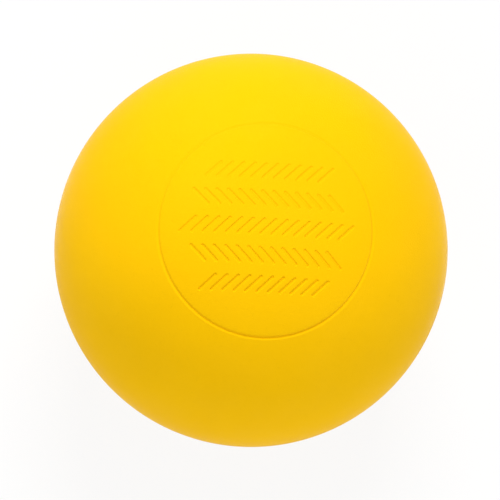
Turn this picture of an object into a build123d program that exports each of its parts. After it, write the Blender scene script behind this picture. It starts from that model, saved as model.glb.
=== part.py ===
from build123d import *
import math
import os

# A solid rubber lacrosse ball, moulded in two stages. A round core is cured first. Two half covers of
# coloured rubber then close over it and meet edge to edge at the mould's parting line.
# The origin is the ball's centre. +Z is the moulding axis, out through the circle on the upper cover.
# Lengths are in millimetres and angles in degrees.

# Ball and covers
ball_diameter = 63.5  # 199.5 mm round, within the 196.9 to 203.2 mm that the game allows
cover_thickness = 5.0
seam_edge_radius = 0.15  # the buffed outer edge of each cover at the parting line

# Moulded circle on the upper cover
ring_diameter = 33.5  # straight across, from mid-groove to mid-groove
ring_groove_width = 0.7
ring_groove_depth = 0.16
ring_edge_radius = 0.12

# Herringbone of sunk ribs inside the circle
rib_length = 3.6
rib_width = 0.45
rib_depth = 0.16
rib_slant = 45.0  # from the row's upright, to alternate sides
rib_spacing = 1.75
row_spacing = 4.4
rib_field_margin = 2.0  # plain band between the groove and the nearest rib

# Sizes that follow from those
ball_radius = ball_diameter / 2
core_radius = ball_radius - cover_thickness
rib_field_radius = (ring_diameter - ring_groove_width) / 2 - rib_field_margin


def half_cover_profile():
    """Half section of a plain cover: X runs out from the moulding axis, and Y up from the seam."""
    outside = CenterArc((0, 0), ball_radius, 0, 90)
    inside = CenterArc((0, 0), core_radius, 0, 90)
    seam = Line(inside @ 0, outside @ 0)
    pole = Line(inside @ 1, outside @ 1)
    section = make_face([outside, inside, seam, pole])
    seam_corner = section.vertices().sort_by(Axis.X)[-1]
    return fillet(seam_corner, seam_edge_radius)


def cut_ring_groove(section):
    """Sinks the moulded circle's round-bottomed groove into a cover's section, with soft shoulders."""
    groove_radius = (ring_groove_width**2 / 4 + ring_groove_depth**2) / (2 * ring_groove_depth)
    from_centre = ball_radius - ring_groove_depth + groove_radius
    off_axis = math.asin(ring_diameter / 2 / ball_radius)
    groove = Pos(from_centre * math.sin(off_axis), from_centre * math.cos(off_axis)) * Circle(groove_radius)
    grooved = section - groove
    shoulders = grooved.vertices() - section.vertices()
    return fillet(shoulders, ring_edge_radius)


def rib_outlines():
    """Plan of the ribs: rows of slots that lean to alternate sides, all inside the rib field."""
    lean = math.radians(rib_slant)
    half_run = (rib_length - rib_width) / 2
    reach_x = half_run * abs(math.sin(lean)) + rib_width / 2
    reach_y = half_run * abs(math.cos(lean)) + rib_width / 2
    rows = math.ceil(rib_field_radius / row_spacing)
    columns = math.ceil(rib_field_radius / rib_spacing)
    outlines = []
    for row in range(-rows, rows + 1):
        direction = 90 - rib_slant if row % 2 == 0 else 90 + rib_slant
        for column in range(-columns, columns + 1):
            x, y = column * rib_spacing, row * row_spacing
            if math.hypot(abs(x) + reach_x, abs(y) + reach_y) <= rib_field_radius:
                outlines.append(Pos(x, y) * SlotOverall(rib_length, rib_width, rotation=direction))
    return outlines


def rib_cutters():
    """The ribs as sunk spaces, of one depth under the ball's surface and drawn along the moulding axis."""
    floor = Sphere(ball_radius - rib_depth)
    return [extrude(outline, ball_diameter) - floor for outline in rib_outlines()]


def turn_on_axis(section):
    """Turns a half section about the moulding axis."""
    return revolve(Plane.XZ * section, Axis.Z)


def make_core():
    """The cured centre of the ball."""
    return Sphere(core_radius)


def make_upper_cover():
    """The half cover that carries the moulded circle and its ribs."""
    return turn_on_axis(cut_ring_groove(half_cover_profile())) - rib_cutters()


def make_lower_cover():
    """The plain half cover, the other way up."""
    return Rot(180, 0, 0) * turn_on_axis(half_cover_profile())


os.makedirs("parts", exist_ok=True)
export_step(make_core(), "parts/core.step")
export_step(make_upper_cover(), "parts/upper_cover.step")
export_step(make_lower_cover(), "parts/lower_cover.step")
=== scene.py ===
import math

import bmesh
import bpy
from mathutils import Matrix, Vector
from mathutils.geometry import delaunay_2d_cdt


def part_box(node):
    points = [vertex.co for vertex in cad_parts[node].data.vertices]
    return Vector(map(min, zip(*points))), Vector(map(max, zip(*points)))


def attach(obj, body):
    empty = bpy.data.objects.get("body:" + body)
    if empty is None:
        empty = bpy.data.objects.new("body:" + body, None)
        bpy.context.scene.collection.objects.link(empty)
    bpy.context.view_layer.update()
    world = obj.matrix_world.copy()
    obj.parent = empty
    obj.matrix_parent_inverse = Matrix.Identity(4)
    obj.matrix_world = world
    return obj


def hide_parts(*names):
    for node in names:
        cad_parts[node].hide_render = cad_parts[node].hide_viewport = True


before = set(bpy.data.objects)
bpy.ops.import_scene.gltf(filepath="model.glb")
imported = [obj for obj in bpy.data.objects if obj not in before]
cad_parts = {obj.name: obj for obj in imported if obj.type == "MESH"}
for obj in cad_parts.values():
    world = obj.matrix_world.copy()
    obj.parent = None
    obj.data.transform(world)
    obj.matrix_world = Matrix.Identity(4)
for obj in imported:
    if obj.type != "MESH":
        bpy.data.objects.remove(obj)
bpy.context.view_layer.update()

# A solid rubber lacrosse ball on a pale floor, seen almost straight down on its moulded circle.
# Lengths are in metres. The ball's centre is the origin, and +Z goes out through the circle.

mm = 0.001

# Ball, from the frame
ball_radius = -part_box("lower_cover")[0].z
core_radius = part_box("core")[1].z

# Moulded circle
ring_radius = 16.75 * mm
ring_half_width = 0.41 * mm  # from mid-groove to where the surface is whole again
ring_depth = 0.16 * mm
ring_polar = math.asin(ring_radius / ball_radius)  # angle of mid-groove from the pole
ring_half_angle = ring_half_width / ball_radius

# The insert that moulds the circle and its ribs sat askew, so they are deeper on one side
insert_tilt = 0.45  # share of the circle's depth gained at the deep side and lost across from it
insert_deep_heading = math.radians(-80)

# Herringbone of sunk ribs
rib_length = 3.6 * mm
rib_width = 0.45 * mm
rib_depth = 0.16 * mm
rib_slant = math.radians(45)
rib_spacing = 1.75 * mm
row_spacing = 4.4 * mm
rib_field_margin = 2.35 * mm  # from mid-groove to the nearest rib
rib_field_radius = ring_radius - rib_field_margin
rib_half_run = (rib_length - rib_width) / 2  # from a rib's middle to the centre of its round end
rib_floor_half = 0.08 * mm  # half the width of its flat floor
rib_mouth_half = 0.33 * mm  # half the width of its soft-edged mouth
rib_guard = 0.12 * mm  # whole surface kept round each rib, before the open field begins

# Lip of each cover at the parting line, uneven by a few waves: their counts, heights and starts
lip_radius = 0.15 * mm
lip_unevenness = 0.3
lip_waves = [(7, 1.0, 0.4), (17, 0.7, 2.1), (41, 0.5, 1.3)]
lip_start = ball_radius * math.pi / 2 - 2 * lip_radius  # along the ball from the pole

# Band along the parting line where the flash was ground off
buffed_half_width = 1.0 * mm
buffed_fade = 0.55 * mm
buffed_wander = 0.55 * mm
buffed_wander_size = 4.5 * mm
streak_length = 3.3 * mm
streak_narrowing = 40  # how many times shorter a streak is across the band
streak_depth = 0.02 * mm

# Clouds, specks and relief of the rubber
cloud_size = 17 * mm
speck_size = 0.4 * mm
gloss_patch_size = 7 * mm
peel_size = 1.7 * mm
peel_depth = 0.03 * mm
grain_size = 0.2 * mm
grain_depth = 0.04 * mm
core_cloud_size = 12.5 * mm
core_speck_size = 0.7 * mm
core_patch_size = 3.3 * mm
noise_detail = 3
noise_middle = (0.35, 0.65)  # the part of a noise's range where most of it lies
noise_peaks = (0.62, 0.74)  # the part that only a few spots reach

# Colours, as shares of the light that they give back, and finish
rubber_deep = (0.96, 0.543, 0.0, 1)
rubber_bright = (0.98, 0.557, 0.0, 1)
speck_colour = (0.80, 0.44, 0.0, 1)
speck_share = 0.25
# Darker colour for the sunk marks: painted shade in the recesses, with a little dust
dust_and_shade_colour = (0.72, 0.36, 0.0, 1)
dust_and_shade_share = 0.05
scuffed_colour = (0.96, 0.59, 0.06, 1)
scuffed_shares = (0.1, 0.5)
rubber_roughness = (0.74, 0.84)
buffed_roughness = 0.15  # on top of the rubber's own
rubber_specular = 0.05
rubber_bloom = 0.25  # pale bloom that shows at grazing angles
bloom_roughness = 0.2
core_deep = (0.58, 0.34, 0.05, 1)
core_bright = (0.66, 0.41, 0.07, 1)
core_speck_colour = (0.42, 0.26, 0.06, 1)
core_speck_share = 0.5
core_roughness = (0.7, 0.85)
floor_colour = (0.9, 0.9, 0.9, 1)
floor_roughness = 0.9

# How finely the meshes are divided
segments = 288
headings = [2 * math.pi * i / segments for i in range(segments)]
rib_end_steps = 8
rib_side_steps = 7
rib_wall_steps = 8
groove_steps = 24
lip_steps = 6
finest_step = 0.06 * mm
widest_step = 1.1 * mm
step_growth = 1.5
field_step = 0.9 * mm  # between the points spread over the surface round the poles
field_rib_gap = 0.36 * mm
field_edge_gap = 0.54 * mm
pole_field_angle = math.radians(30)  # how far such a field reaches round a pole without ribs
inner_steps = 15
sharp_angle = math.radians(50)

# Camera, from the photograph's frame
frame_pixels = 500
photo_ball_radius = 196.75  # pixels
photo_ball_offset = (1.0, -0.3)  # pixels right of and above the frame's middle
camera_distance = 20 * ball_radius
camera_azimuth = math.radians(-33)
camera_elevation = math.radians(81.8)
camera_roll = math.radians(3)
sensor_width = 36  # millimetres, as the lens is
nearest_seen = 0.01

# Floor: a share of its look is plain white, and the rest takes the ball's shadow
floor_half = 6.0  # half of its side
contact_white = 0.5  # the share where the ball touches
floor_white = 0.88  # the share from contact_reach outwards
contact_reach = 1.35 * ball_radius  # from the ball's centre, as are the two distances below
white_from = 0.15  # from here the share grows to the whole
white_to = 0.6

# Even light from the room
room_light = 0.4


class CoverMesh:
    """Gathers a cover's corners, its faces and how far each corner is sunk, from 0 to 1."""

    def __init__(self):
        self.corners = []
        self.sunk = []
        self.faces = []

    def add(self, points, sunk=0.0):
        """Adds a row of corners and returns their numbers."""
        first = len(self.corners)
        self.corners.extend(points)
        self.sunk.extend([sunk] * len(points))
        return list(range(first, len(self.corners)))

    def bridge(self, one, other):
        """Joins two closed rows of corners with four-sided faces."""
        for i in range(len(one)):
            j = (i + 1) % len(one)
            self.faces.append((one[i], other[i], other[j], one[j]))

    def make(self, name, flipped=False):
        """Makes the object, upside down if flipped."""
        turn = -1 if flipped else 1
        mesh = bpy.data.meshes.new(name)
        mesh.from_pydata([(x, y * turn, z * turn) for x, y, z in self.corners], [], self.faces)
        mesh.attributes.new("sunk", "FLOAT", "POINT").data.foreach_set("value", self.sunk)
        work = bmesh.new()
        work.from_mesh(mesh)
        bmesh.ops.recalc_face_normals(work, faces=work.faces)
        work.to_mesh(mesh)
        work.free()
        mesh.shade_smooth()
        mesh.set_sharp_from_angle(angle=sharp_angle)
        piece = bpy.data.objects.new(name, mesh)
        bpy.context.scene.collection.objects.link(piece)
        return piece


def sunk_share(way):
    """How far a mark is sunk on the way from its bottom, at 0, to its edge, at 1 or at -1."""
    return 0.5 + 0.5 * math.cos(math.pi * way)


def ball_point(polar, heading, inset=0.0):
    """The point at an angle from the pole and a heading round it, on the ball or set in from it."""
    out, up = (ball_radius - inset) * math.sin(polar), (ball_radius - inset) * math.cos(polar)
    return (out * math.cos(heading), out * math.sin(heading), up)


def ball_ring(polar, inset=0.0):
    """A ring of corners at an angle from the pole."""
    return [ball_point(polar, heading, inset) for heading in headings]


def point_over(x, y, inset=0.0):
    """The point over a place in plan, on the ball or set in from it."""
    return (x, y, math.sqrt((ball_radius - inset) ** 2 - x * x - y * y))


def insert_share(x, y):
    """How deep the insert pressed at a place in plan, as a share of its mean depth."""
    towards_deep = x * math.cos(insert_deep_heading) + y * math.sin(insert_deep_heading)
    return 1 + insert_tilt * towards_deep / ring_radius


def graded_steps(start, stop):
    """Distances from start to stop whose steps are fine at both ends and widen between them."""
    left, right = [start], [stop]
    step = finest_step
    steps_needed = 3  # one from each end, and room for one between
    while right[-1] - left[-1] > steps_needed * step:
        left.append(left[-1] + step)
        right.append(right[-1] - step)
        step = min(step * step_growth, widest_step)
    return left + right[::-1]


def rib_places():
    """Middle and heading of each rib: rows that lean to alternate sides and fill the field."""
    reach_x = rib_half_run * math.sin(rib_slant) + rib_width / 2
    reach_y = rib_half_run * math.cos(rib_slant) + rib_width / 2
    rows = math.ceil(rib_field_radius / row_spacing)
    columns = math.ceil(rib_field_radius / rib_spacing)
    places = []
    for row in range(-rows, rows + 1):
        heading = math.pi / 2 - rib_slant if row % 2 == 0 else math.pi / 2 + rib_slant
        for column in range(-columns, columns + 1):
            x, y = column * rib_spacing, row * row_spacing
            if math.hypot(abs(x) + reach_x, abs(y) + reach_y) <= rib_field_radius:
                places.append((x, y, heading))
    return places


def rib_outline(place, offset):
    """Plan of a rib: a slot at that offset from its middle line, starting at one end's lower corner."""
    x, y, heading = place
    turns = [math.pi * (i / rib_end_steps - 0.5) for i in range(rib_end_steps + 1)]
    side = [rib_half_run * (1 - 2 * i / (rib_side_steps + 1)) for i in range(1, rib_side_steps + 1)]
    far_end = [(rib_half_run + offset * math.cos(turn), offset * math.sin(turn)) for turn in turns]
    back = [(u, offset) for u in side]
    near_end = [(-u, -v) for u, v in far_end]
    forth = [(-u, -v) for u, v in back]
    along, across = math.cos(heading), math.sin(heading)
    slot = far_end + back + near_end + forth
    return [(x + u * along - v * across, y + u * across + v * along) for u, v in slot]


def add_rib(cover, place):
    """Sinks one rib and returns the corners of the whole surface round it."""
    rings = []
    for step in range(rib_wall_steps + 1):
        way = step / rib_wall_steps
        outline = rib_outline(place, rib_floor_half + (rib_mouth_half - rib_floor_half) * way)
        share = sunk_share(way)
        depth = rib_depth * insert_share(*place[:2]) * share
        rings.append(cover.add([point_over(x, y, depth) for x, y in outline], share))
    rim = rib_outline(place, rib_mouth_half + rib_guard)
    rings.append(cover.add([point_over(x, y) for x, y in rim]))
    for inner, outer in zip(rings, rings[1:]):
        cover.bridge(outer, inner)
    # The floor has a half disc at each round end and a strip of faces between its long sides
    floor = rings[0]
    upper = floor[rib_end_steps : rib_end_steps + rib_side_steps + 2]
    lower = [floor[-step] for step in range(rib_side_steps + 2)]
    cover.faces.append(floor[: rib_end_steps + 1])
    cover.faces.append(floor[rib_end_steps + rib_side_steps + 1 : -rib_side_steps])
    for step in range(rib_side_steps + 1):
        cover.faces.append((upper[step], upper[step + 1], lower[step + 1], lower[step]))
    return rings[-1]


def field_points(places, edge_radius):
    """Evenly spread points in plan, inside the edge and clear of the ribs."""
    clear = rib_mouth_half + rib_guard + field_rib_gap
    row_step = field_step * math.sqrt(3) / 2
    rows = math.ceil(edge_radius / row_step)
    columns = math.ceil(edge_radius / field_step) + 1
    points = []
    for row in range(-rows, rows + 1):
        y = row * row_step
        for column in range(-columns, columns + 1):
            x = (column + 0.5 * (row % 2)) * field_step
            if math.hypot(x, y) > edge_radius - field_edge_gap:
                continue
            gaps = []
            for rib_x, rib_y, heading in places:
                along = (x - rib_x) * math.cos(heading) + (y - rib_y) * math.sin(heading)
                across = (y - rib_y) * math.cos(heading) - (x - rib_x) * math.sin(heading)
                gaps.append(math.hypot(max(abs(along) - rib_half_run, 0.0), across))
            if min(gaps, default=math.inf) > clear:
                points.append((x, y))
    return points


def add_field(cover, edge, places=(), inset=0.0):
    """Fills the disc inside a ring of corners: ribs at these places and whole surface between them."""
    edge_x, edge_y, _ = cover.corners[edge[0]]
    points = field_points(places, math.hypot(edge_x, edge_y))
    rims = [add_rib(cover, place) for place in places]
    loose = cover.add([point_over(x, y, inset) for x, y in points])
    loops = [edge] + rims
    numbers = [number for loop in loops for number in loop] + loose
    borders = []
    first = 0
    for loop in loops:
        count = len(loop)
        borders.extend((first + i, first + (i + 1) % count) for i in range(count))
        first += count
    plan = [Vector(cover.corners[number][:2]) / mm for number in numbers]
    whole_disc = 0  # fills all that lies inside the outermost points
    same_place = 1e-7
    _, _, triangles, sources, _, _ = delaunay_2d_cdt(plan, borders, [], whole_disc, same_place)
    rim_of = {number: index for index, rim in enumerate(rims) for number in rim}
    for triangle in triangles:
        corners = [numbers[sources[i][0]] for i in triangle]
        rims_met = {rim_of.get(number) for number in corners}
        inside_a_rib = len(rims_met) == 1 and None not in rims_met
        if not inside_a_rib:
            cover.faces.append(corners)


def add_groove(cover, above):
    """Adds the moulded circle's groove below a ring and returns the last ring."""
    depths = []
    for heading in headings:
        x, y = ring_radius * math.cos(heading), ring_radius * math.sin(heading)
        depths.append(ring_depth * insert_share(x, y))
    for step in range(1, groove_steps + 1):
        way = 2 * step / groove_steps - 1
        share = sunk_share(way)
        polar = ring_polar + ring_half_angle * way
        points = [ball_point(polar, heading, depth * share) for heading, depth in zip(headings, depths)]
        ring = cover.add(points, share)
        cover.bridge(above, ring)
        above = ring
    return above


def add_plain_belt(cover, above, start, stop):
    """Adds the plain ball surface between two distances along it from the pole."""
    for distance in graded_steps(start, stop)[1:]:
        ring = cover.add(ball_ring(distance / ball_radius))
        cover.bridge(above, ring)
        above = ring
    return above


def add_seam_and_inside(cover, above):
    """Closes a cover: the buffed edge at the parting line, the flat seam face and the hollow inside."""
    lips = []
    tallest = sum(height for _, height, _ in lip_waves)
    for heading in headings:
        wave = sum(height * math.sin(count * heading + start) for count, height, start in lip_waves)
        lips.append(lip_radius * (1 + lip_unevenness * wave / tallest))
    for step in range(lip_steps + 1):
        bend = math.pi / 2 * step / lip_steps
        edge = []
        for heading, lip in zip(headings, lips):
            out, up = ball_radius - lip * (1 - math.cos(bend)), lip * (1 - math.sin(bend))
            edge.append((out * math.cos(heading), out * math.sin(heading), up))
        ring = cover.add(edge)
        cover.bridge(above, ring)
        above = ring
    hollow_inset = ball_radius - core_radius
    for step in range(inner_steps + 1):
        polar = math.pi / 2 + (pole_field_angle - math.pi / 2) * step / inner_steps
        ring = cover.add(ball_ring(polar, hollow_inset))
        cover.bridge(above, ring)
        above = ring
    add_field(cover, above, inset=hollow_inset)


def make_upper_cover():
    """The half cover with the moulded circle and its ribs."""
    cover = CoverMesh()
    edge = cover.add(ball_ring(ring_polar - ring_half_angle))
    add_field(cover, edge, rib_places())
    above = add_groove(cover, edge)
    above = add_plain_belt(cover, above, (ring_polar + ring_half_angle) * ball_radius, lip_start)
    add_seam_and_inside(cover, above)
    return cover.make("upper_cover_shell")


def make_lower_cover():
    """The plain half cover."""
    cover = CoverMesh()
    edge = cover.add(ball_ring(pole_field_angle))
    add_field(cover, edge)
    above = add_plain_belt(cover, edge, pole_field_angle * ball_radius, lip_start)
    add_seam_and_inside(cover, above)
    return cover.make("lower_cover_shell", flipped=True)


def new_material(name):
    """A node material, its tree and its main shader."""
    material = bpy.data.materials.new(name)
    material.use_nodes = True
    return material, material.node_tree, material.node_tree.nodes["Principled BSDF"]


def add_place(tree, stretch=(1, 1, 1)):
    """The place on the object in metres, stretched along its axes."""
    place = tree.nodes.new("ShaderNodeTexCoord").outputs["Object"]
    mapping = tree.nodes.new("ShaderNodeMapping")
    mapping.inputs["Scale"].default_value = stretch
    tree.links.new(place, mapping.inputs["Vector"])
    return mapping.outputs["Vector"]


def add_noise(tree, size, stretch=(1, 1, 1)):
    """Noise with features of about this size."""
    noise = tree.nodes.new("ShaderNodeTexNoise")
    noise.inputs["Scale"].default_value = 1 / size
    noise.inputs["Detail"].default_value = noise_detail
    tree.links.new(add_place(tree, stretch), noise.inputs["Vector"])
    return noise.outputs["Fac"]


def add_range(tree, value, low, high, to_low, to_high):
    """Maps a value from one range to another and stops at its ends."""
    node = tree.nodes.new("ShaderNodeMapRange")
    tree.links.new(value, node.inputs["Value"])
    for name, number in zip(("From Min", "From Max", "To Min", "To Max"), (low, high, to_low, to_high)):
        node.inputs[name].default_value = number
    return node.outputs["Result"]


def add_patches(tree, noise, to_low, to_high):
    """Soft patches between two values, from the middle of a noise's range."""
    return add_range(tree, noise, *noise_middle, to_low, to_high)


def add_specks(tree, noise, share):
    """Small spots of this strength, from the peaks of a noise, and 0 between them."""
    return add_range(tree, noise, *noise_peaks, 0.0, share)


def add_math(tree, operation, one, other=0.0):
    """Joins two values, the second given as a number or as an output."""
    node = tree.nodes.new("ShaderNodeMath")
    node.operation = operation
    tree.links.new(one, node.inputs[0])
    if isinstance(other, bpy.types.NodeSocket):
        tree.links.new(other, node.inputs[1])
    else:
        node.inputs[1].default_value = other
    return node.outputs[0]


def add_mix(tree, share, one, other):
    """Mixes two colours by a share, the first given as a value or as an output."""
    node = tree.nodes.new("ShaderNodeMix")
    node.data_type = "RGBA"
    inputs = {socket.identifier: socket for socket in node.inputs}
    tree.links.new(share, inputs["Factor_Float"])
    if isinstance(one, bpy.types.NodeSocket):
        tree.links.new(one, inputs["A_Color"])
    else:
        inputs["A_Color"].default_value = one
    inputs["B_Color"].default_value = other
    return next(socket for socket in node.outputs if socket.identifier == "Result_Color")


def add_bump(tree, height, depth, under=None):
    """Relief from a height of 0 to 1, this deep, on top of the relief under it."""
    bump = tree.nodes.new("ShaderNodeBump")
    bump.inputs["Distance"].default_value = depth
    tree.links.new(height, bump.inputs["Height"])
    if under is not None:
        tree.links.new(under, bump.inputs["Normal"])
    return bump.outputs["Normal"]


def add_buffed_band(tree):
    """1 along the parting line, where the flash was ground off, and 0 elsewhere, with an uneven edge."""
    split = tree.nodes.new("ShaderNodeSeparateXYZ")
    tree.links.new(add_place(tree), split.inputs["Vector"])
    away = add_math(tree, "ABSOLUTE", split.outputs["Z"])
    noise = add_noise(tree, buffed_wander_size)
    wander = add_patches(tree, noise, -buffed_wander / 2, buffed_wander / 2)
    inner, outer = buffed_half_width - buffed_fade / 2, buffed_half_width + buffed_fade / 2
    return add_range(tree, add_math(tree, "ADD", away, wander), inner, outer, 1.0, 0.0)


def make_cover_rubber():
    """Bright yellow rubber: clouded, grained, darkened where sunk by painted shade and a little dust,
    and buffed at the parting line.
    """
    material, tree, shader = new_material("moulded_yellow_rubber")
    band = add_buffed_band(tree)
    streaks = add_noise(tree, streak_length, stretch=(1, 1, streak_narrowing))

    clouds = add_patches(tree, add_noise(tree, cloud_size), 0.0, 1.0)
    colour = add_mix(tree, clouds, rubber_deep, rubber_bright)
    specks = add_specks(tree, add_noise(tree, speck_size), speck_share)
    colour = add_mix(tree, specks, colour, speck_colour)
    sunk = tree.nodes.new("ShaderNodeAttribute")
    sunk.attribute_name = "sunk"
    # Sunk marks darkened in step with their depth: painted shade, with a little dust
    dust_and_shade = add_math(tree, "MULTIPLY", sunk.outputs["Fac"], dust_and_shade_share)
    colour = add_mix(tree, dust_and_shade, colour, dust_and_shade_colour)
    scuffed = add_math(tree, "MULTIPLY", band, add_patches(tree, streaks, *scuffed_shares))
    colour = add_mix(tree, scuffed, colour, scuffed_colour)
    tree.links.new(colour, shader.inputs["Base Color"])

    moulded = add_patches(tree, add_noise(tree, gloss_patch_size), *rubber_roughness)
    rough = add_math(tree, "ADD", moulded, add_math(tree, "MULTIPLY", band, buffed_roughness))
    tree.links.new(rough, shader.inputs["Roughness"])
    shader.inputs["Specular IOR Level"].default_value = rubber_specular
    shader.inputs["Sheen Weight"].default_value = rubber_bloom
    shader.inputs["Sheen Roughness"].default_value = bloom_roughness

    peel = add_bump(tree, add_noise(tree, peel_size), peel_depth)
    grain = add_bump(tree, add_noise(tree, grain_size), grain_depth, peel)
    buffed = add_bump(tree, add_math(tree, "MULTIPLY", band, streaks), streak_depth, grain)
    tree.links.new(buffed, shader.inputs["Normal"])
    return material


def make_core_rubber():
    """Duller rubber of the core, with specks of filler."""
    material, tree, shader = new_material("dull_core_rubber")
    clouds = add_patches(tree, add_noise(tree, core_cloud_size), 0.0, 1.0)
    colour = add_mix(tree, clouds, core_deep, core_bright)
    specks = add_specks(tree, add_noise(tree, core_speck_size), core_speck_share)
    colour = add_mix(tree, specks, colour, core_speck_colour)
    tree.links.new(colour, shader.inputs["Base Color"])
    rough = add_patches(tree, add_noise(tree, core_patch_size), *core_roughness)
    tree.links.new(rough, shader.inputs["Roughness"])
    return material


def add_seen(tree):
    """1 for the camera and for what shows in reflections, and 0 for the light that falls on things."""
    path = tree.nodes.new("ShaderNodeLightPath")
    seen = add_math(tree, "MAXIMUM", path.outputs["Is Camera Ray"], path.outputs["Is Glossy Ray"])
    return add_math(tree, "MAXIMUM", seen, path.outputs["Is Transmission Ray"])


def make_floor_white():
    """Pale floor that shows mostly as plain white and keeps a soft shadow."""
    material, tree, shader = new_material("floor_white")
    shader.inputs["Base Color"].default_value = floor_colour
    shader.inputs["Roughness"].default_value = floor_roughness
    shader.inputs["Specular IOR Level"].default_value = 0.0
    length = tree.nodes.new("ShaderNodeVectorMath")
    length.operation = "LENGTH"
    tree.links.new(add_place(tree), length.inputs[0])
    away = length.outputs["Value"]
    near = add_range(tree, away, ball_radius, contact_reach, contact_white, floor_white)
    far = add_range(tree, away, white_from, white_to, 0.0, 1.0)
    share = add_math(tree, "MULTIPLY", add_math(tree, "MAXIMUM", near, far), add_seen(tree))
    white = tree.nodes.new("ShaderNodeEmission")
    white.inputs["Strength"].default_value = 1.0
    mix = tree.nodes.new("ShaderNodeMixShader")
    tree.links.new(share, mix.inputs["Fac"])
    tree.links.new(shader.outputs["BSDF"], mix.inputs[1])
    tree.links.new(white.outputs["Emission"], mix.inputs[2])
    tree.links.new(mix.outputs["Shader"], tree.nodes["Material Output"].inputs["Surface"])
    return material


def make_floor():
    """The floor, level with the bottom of the ball."""
    mesh = bpy.data.meshes.new("floor")
    sides = [(-1, -1), (1, -1), (1, 1), (-1, 1)]
    corners = [(x * floor_half, y * floor_half, -ball_radius) for x, y in sides]
    mesh.from_pydata(corners, [], [(0, 1, 2, 3)])
    mesh.materials.append(make_floor_white())
    floor = bpy.data.objects.new("floor", mesh)
    bpy.context.scene.collection.objects.link(floor)


def make_room():
    """Even light from all round, which shows as white."""
    world = bpy.data.worlds.new("room")
    world.use_nodes = True
    bpy.context.scene.world = world
    tree = world.node_tree
    background = tree.nodes["Background"]
    background.inputs["Color"].default_value = (1, 1, 1, 1)
    level = add_range(tree, add_seen(tree), 0.0, 1.0, room_light, 1.0)
    tree.links.new(level, background.inputs["Strength"])


def add_softbox(name, heading, height, distance, size, power):
    """A square softbox aimed at the ball. Its heading, clockwise from +Y, and height are in degrees."""
    lamp = bpy.data.lights.new(name, "AREA")
    lamp.shape = "SQUARE"
    lamp.size = size
    lamp.energy = power
    softbox = bpy.data.objects.new(name, lamp)
    turn, rise = math.radians(heading), math.radians(height)
    towards = Vector((math.sin(turn) * math.cos(rise), math.cos(turn) * math.cos(rise), math.sin(rise)))
    softbox.location = towards * distance
    softbox.rotation_mode = "QUATERNION"
    softbox.rotation_quaternion = (-towards).to_track_quat("-Z", "Y")
    softbox.visible_camera = False
    bpy.context.scene.collection.objects.link(softbox)


def make_camera():
    """The photograph's camera, with the ball as large and where it is there."""
    camera = bpy.data.objects.new("photo_camera", bpy.data.cameras.new("photo_camera"))
    bpy.context.scene.collection.objects.link(camera)
    bpy.context.scene.camera = camera
    outline = ball_radius / math.sqrt(camera_distance**2 - ball_radius**2)
    pixels = photo_ball_radius / outline
    camera.data.sensor_width = sensor_width
    camera.data.lens = sensor_width * pixels / frame_pixels
    camera.data.clip_start = nearest_seen
    back = Vector((
        math.sin(camera_azimuth) * math.cos(camera_elevation),
        -math.cos(camera_azimuth) * math.cos(camera_elevation),
        math.sin(camera_elevation),
    ))
    picture_up = Vector((-math.sin(camera_roll), math.cos(camera_roll), 0))
    right = picture_up.cross(back).normalized()
    up = back.cross(right)
    aim = -(right * photo_ball_offset[0] + up * photo_ball_offset[1]) * camera_distance / pixels
    turn = Matrix((right, up, back)).transposed().to_4x4()
    camera.matrix_world = Matrix.Translation(aim + back * camera_distance) @ turn


cover_rubber = make_cover_rubber()
for piece, node in ((make_upper_cover(), "upper_cover"), (make_lower_cover(), "lower_cover")):
    piece.data.materials.append(cover_rubber)
    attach(piece, "root")
    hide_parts(node)

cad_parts["core"].material_slots[0].material = make_core_rubber()

make_floor()
make_room()
add_softbox("key", heading=0, height=50, distance=0.9, size=0.4, power=6.55)
add_softbox("front_fill", heading=205, height=45, distance=1.0, size=0.6, power=2.05)
add_softbox("left_fill", heading=270, height=20, distance=0.9, size=0.5, power=0.75)
add_softbox("low_fill", heading=135, height=8, distance=0.9, size=0.26, power=1.65)
make_camera()
bpy.context.scene.view_settings.view_transform = "Standard"
